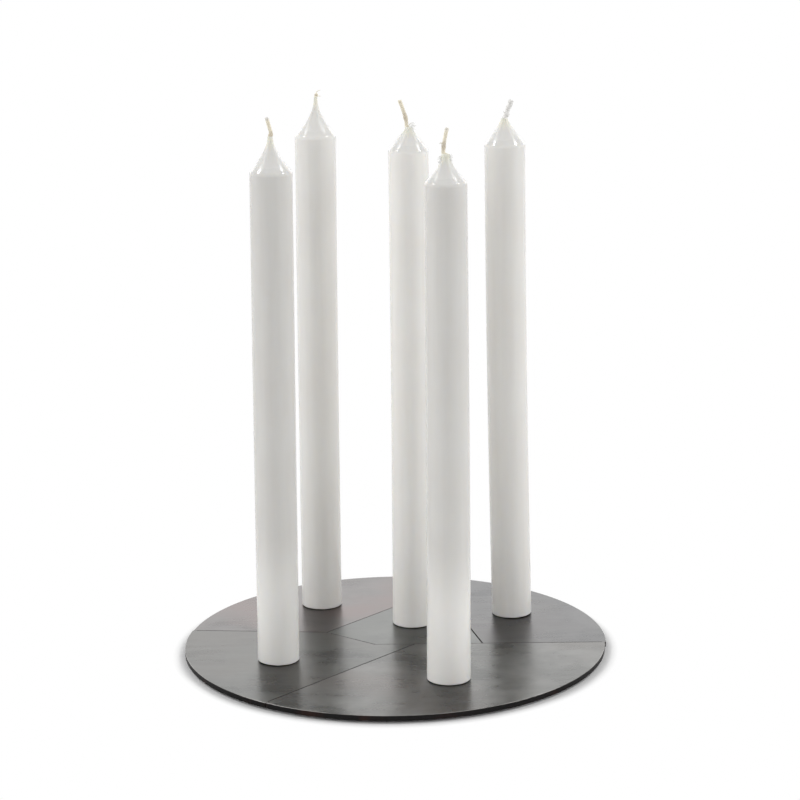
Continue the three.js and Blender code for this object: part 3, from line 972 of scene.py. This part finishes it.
def table_finish():
    material, tree, shader = finish_called("white table")
    spot = place(tree, "ShaderNodeTexCoord").outputs["Object"]
    tooth = clouds_on(tree, spot, 60, 3)
    colour = fade(tree, tooth, 0.3, 0.7, TABLE_TOOTH, TABLE_WHITE)
    path = place(tree, "ShaderNodeLightPath")
    colour = blend(tree, path.outputs["Is Diffuse Ray"], colour, TABLE_BOUNCE)
    tree.links.new(colour, shader.inputs["Base Color"])
    shader.inputs["Roughness"].default_value = 0.9
    shader.inputs["Specular IOR Level"].default_value = 0.1
    away = place(tree, "ShaderNodeVectorMath", {0: spot}, operation="LENGTH").outputs["Value"]
    white = between(tree, away, CLEAR_OF_DISC, WHITE_FROM)
    seen_white = work_out(tree, "MULTIPLY", white, path.outputs["Is Camera Ray"])
    glow = place(tree, "ShaderNodeEmission", {"Color": (1, 1, 1, 1), "Strength": 1}).outputs["Emission"]
    both = place(tree, "ShaderNodeMixShader", {0: seen_white, 1: shader.outputs["BSDF"], 2: glow})
    tree.links.new(both.outputs[0], tree.nodes["Material Output"].inputs["Surface"])
    return material


corners = [(x * TABLE_HALF, y * TABLE_HALF, 0) for x, y in ((-1, -1), (1, -1), (1, 1), (-1, 1))]
table_mesh = bpy.data.meshes.new("table_top")
table_mesh.from_pydata(corners, [], [(0, 1, 2, 3)])
table = bpy.data.objects.new("table_top", table_mesh)
bpy.context.collection.objects.link(table)
table.data.materials.append(table_finish())


# Light: a small square softbox hangs high on each side, and a wide white backdrop stands lit behind the
# table, brightest in its middle. The white walls on both sides and in front light the candles, and metal
# and wax mirror the room as white.

ROOM_SIDES = 2.65
ROOM_FRONT = 1.42
SIDE_SOFTBOX_AT = (1.01, 0.12, 1.33)
SIDE_SOFTBOX_WIDTH = 0.25
SIDE_SOFTBOX_WATTS = 5
SOFTBOX_AIM = (0, 0, 0.14)
BACKDROP_AT = (0, 1.7, 0.78)
BACKDROP_WIDTH = 3.4
BACKDROP_HEIGHT = 1.24
BACKDROP_WHITE = 1.15
MIDDLE_WIDTH = 0.5
MIDDLE_BRIGHTER = 0.4


def hang_lamp(name, at, width, height, watts):
    """A flat lamp that shines along its -Z."""
    lamp = bpy.data.lights.new(name, "AREA")
    lamp.shape = "RECTANGLE"
    lamp.size = width
    lamp.size_y = height
    lamp.energy = watts
    holder = bpy.data.objects.new(name, lamp)
    bpy.context.collection.objects.link(holder)
    holder.location = at
    return holder


for name, side in (("right softbox", 1), ("left softbox", -1)):
    x, y, z = SIDE_SOFTBOX_AT
    at = Vector((x * side, y, z))
    softbox = hang_lamp(name, at, SIDE_SOFTBOX_WIDTH, SIDE_SOFTBOX_WIDTH, SIDE_SOFTBOX_WATTS)
    softbox.rotation_euler = (Vector(SOFTBOX_AIM) - at).to_track_quat("-Z", "Y").to_euler()

for name, width, white in (
    ("lit backdrop", BACKDROP_WIDTH, BACKDROP_WHITE),
    ("bright middle of the backdrop", MIDDLE_WIDTH, MIDDLE_BRIGHTER),
):
    watts = white * math.pi * width * BACKDROP_HEIGHT
    part = hang_lamp(name, BACKDROP_AT, width, BACKDROP_HEIGHT, watts)
    part.rotation_euler = (math.radians(-90), 0, 0)
    part.visible_camera = False

room = bpy.data.worlds.new("white room")
bpy.context.scene.world = room
room.use_nodes = True
air = room.node_tree
background = air.nodes["Background"]
rays = place(air, "ShaderNodeLightPath")
toward = place(air, "ShaderNodeTexCoord").outputs["Generated"]
way = place(air, "ShaderNodeSeparateXYZ", {"Vector": toward})
to_side = work_out(air, "POWER", work_out(air, "ABSOLUTE", way.outputs["X"]), 4)
to_front = work_out(air, "MINIMUM", way.outputs["Y"], 0)
to_front = work_out(air, "MULTIPLY", to_front, to_front)
room_light = work_out(air, "MULTIPLY", to_side, ROOM_SIDES)
room_light = work_out(air, "MULTIPLY_ADD", to_front, ROOM_FRONT, room_light)
seen_white = work_out(air, "MAXIMUM", rays.outputs["Is Glossy Ray"], rays.outputs["Is Transmission Ray"])
seen_white = work_out(air, "MAXIMUM", rays.outputs["Is Camera Ray"], seen_white)
brightness = between(air, seen_white, 0, 1, room_light, 1, smooth=False)
air.links.new(brightness, background.inputs["Strength"])
background.inputs["Color"].default_value = (1, 1, 1, 1)


# Camera: a long lens, a little above the candles' tops and looking down on the disc, held very
# slightly out of level.

LENS = 139.84
SENSOR_WIDTH = 36
LOOKING_DOWN = math.radians(14.863)
OUT_OF_LEVEL = math.radians(-0.866)
CAMERA_AT = (0.004418, -1.617835, 0.571074)

lens = bpy.data.cameras.new("camera")
lens.lens = LENS
lens.sensor_width = SENSOR_WIDTH
lens.clip_start = 0.05
lens.clip_end = 60
camera = bpy.data.objects.new("camera", lens)
bpy.context.collection.objects.link(camera)
camera.matrix_world = (
    Matrix.Translation(CAMERA_AT)
    @ Matrix.Rotation(math.pi / 2 - LOOKING_DOWN, 4, "X")
    @ Matrix.Rotation(OUT_OF_LEVEL, 4, "Z")
)
bpy.context.scene.camera = camera
bpy.context.scene.view_settings.view_transform = "Standard"
